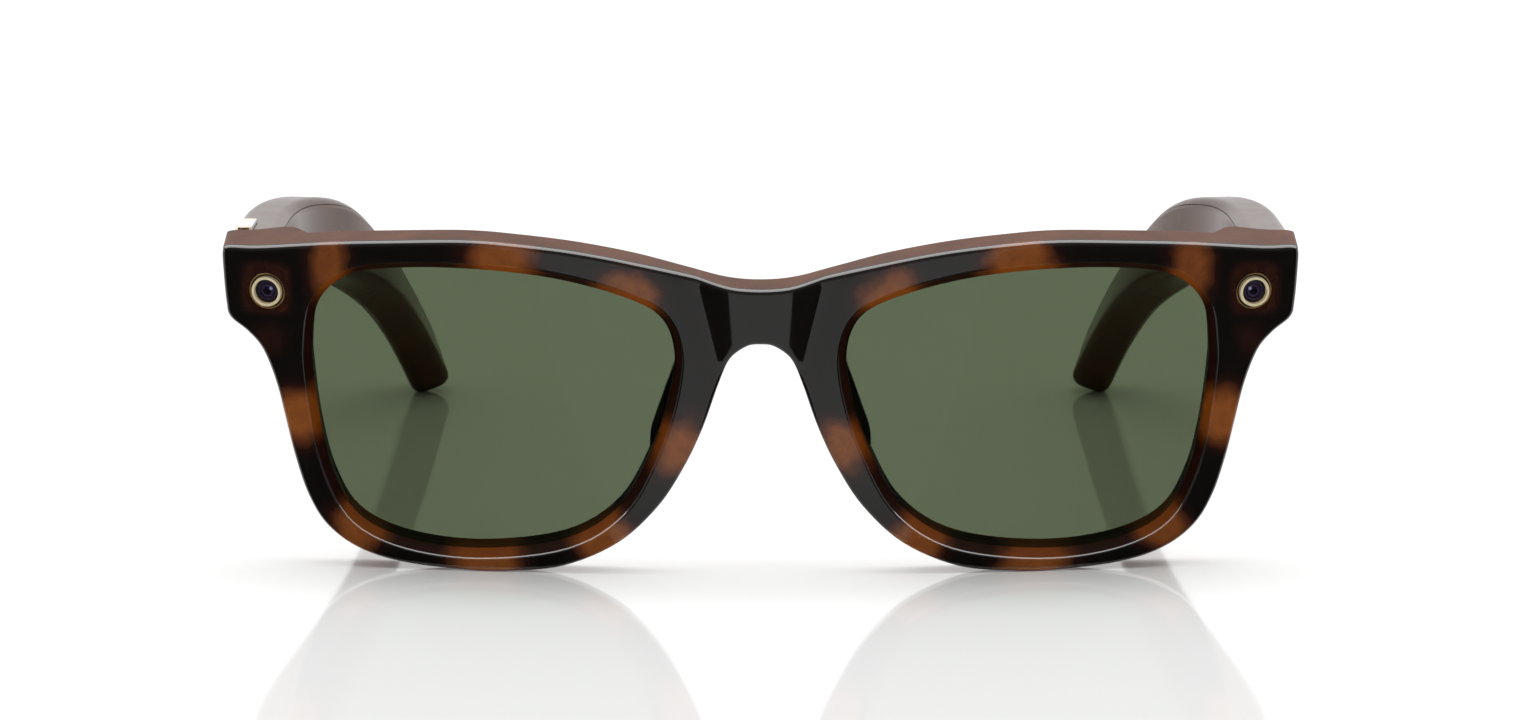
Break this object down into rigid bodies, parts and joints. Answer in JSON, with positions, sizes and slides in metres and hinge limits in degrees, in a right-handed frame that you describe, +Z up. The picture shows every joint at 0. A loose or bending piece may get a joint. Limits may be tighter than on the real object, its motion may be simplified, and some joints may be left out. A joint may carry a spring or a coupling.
{
  "type": "smart glasses",
  "caption": "Full-rim tortoiseshell smart glasses with green lenses, a camera and an indicator light set in the end pieces, a capture button and electronics in folding temples.",
  "frame": {"origin": "bottom centre of the bounding box, on the table that the open glasses stand on", "axes": "+X to the wearer's left, +Y back along the temples from the front to the ear ends, +Z up; the outer face of the front looks along -Y"},
  "size_m": [0.1458, 0.1502, 0.0469],
  "materials": {
    "acetate": "polished tortoiseshell acetate",
    "lens": "flat green tint",
    "gold": "polished pale gold",
    "module_glass": "dark polished",
    "light_pipe": "translucent",
    "optic": "coated",
    "black_plastic": "moulded",
    "steel": "brushed",
    "silver": "satin",
    "board": "solder mask",
    "copper": "flexible circuit",
    "foil": "cell pouch"
  },
  "bodies": {
    "front": {"front_frame": "acetate", "rear_cover": "acetate", "lens_left": "lens", "lens_right": "lens", "nose_pad_left": "acetate", "nose_pad_right": "acetate", "camera_ring": "gold", "camera_glass": "module_glass", "camera_barrel": "black_plastic", "camera_element": "optic", "camera_board": "board", "light_ring": "gold", "light_glass": "module_glass", "light_pipe": "light_pipe", "light_board": "board", "front_flex": "copper", "bridge_microphone": "steel", "charging_carrier": "black_plastic", "charging_contacts": "gold", "status_light": "light_pipe", "front_hinge_left": "steel", "front_hinge_right": "steel", "hinge_pin_left": "steel", "hinge_pin_right": "steel", "hinge_anchor_screws": "steel", "rear_cover_screws": "steel"},
    "temple_right": {"temple_shell_right": "acetate", "temple_cover_right": "acetate", "temple_hinge_right": "steel", "temple_hinge_screws_right": "steel", "button_switch": "black_plastic", "main_board": "board", "board_shield": "steel", "touch_strip": "copper", "battery_right": "foil", "speaker_right": "black_plastic", "speaker_grille_right": "steel", "temple_microphone_right": "steel", "temple_flex_right": "copper", "cover_screws_right": "steel"},
    "capture_button": {"capture_button": "silver", "button_caps": "gold"},
    "temple_left": {"temple_shell_left": "acetate", "temple_cover_left": "acetate", "temple_hinge_left": "steel", "temple_hinge_screws_left": "steel", "battery_left": "foil", "power_switch": "black_plastic", "speaker_left": "black_plastic", "speaker_grille_left": "steel", "temple_microphone_left": "steel", "antenna": "copper", "temple_flex_left": "copper", "cover_screws_left": "steel"},
    "power_slider": {"power_slider": "black_plastic"}
  },
  "joints": [
    {"name": "temple_fold_left", "type": "hinge", "parent": "front", "child": "temple_left", "pos_m": [0.0662, -0.05552, 0.0397], "axis": [0, 0, 1], "range_deg": [0, 80]},
    {"name": "temple_fold_right", "type": "hinge", "parent": "front", "child": "temple_right", "pos_m": [-0.0662, -0.05552, 0.0397], "axis": [0, 0, -1], "range_deg": [0, 70]},
    {"name": "capture_button_press", "type": "slide", "parent": "temple_right", "child": "capture_button", "axis": [0.0006, -0.0645, -0.9979], "range_m": [0, 0.0003], "stiffness_N_per_m": 1500},
    {"name": "power_switch_slide", "type": "slide", "parent": "temple_left", "child": "power_slider", "axis": [0.0084, 0.9979, -0.0645], "range_m": [0, 0.002]}
  ]
}
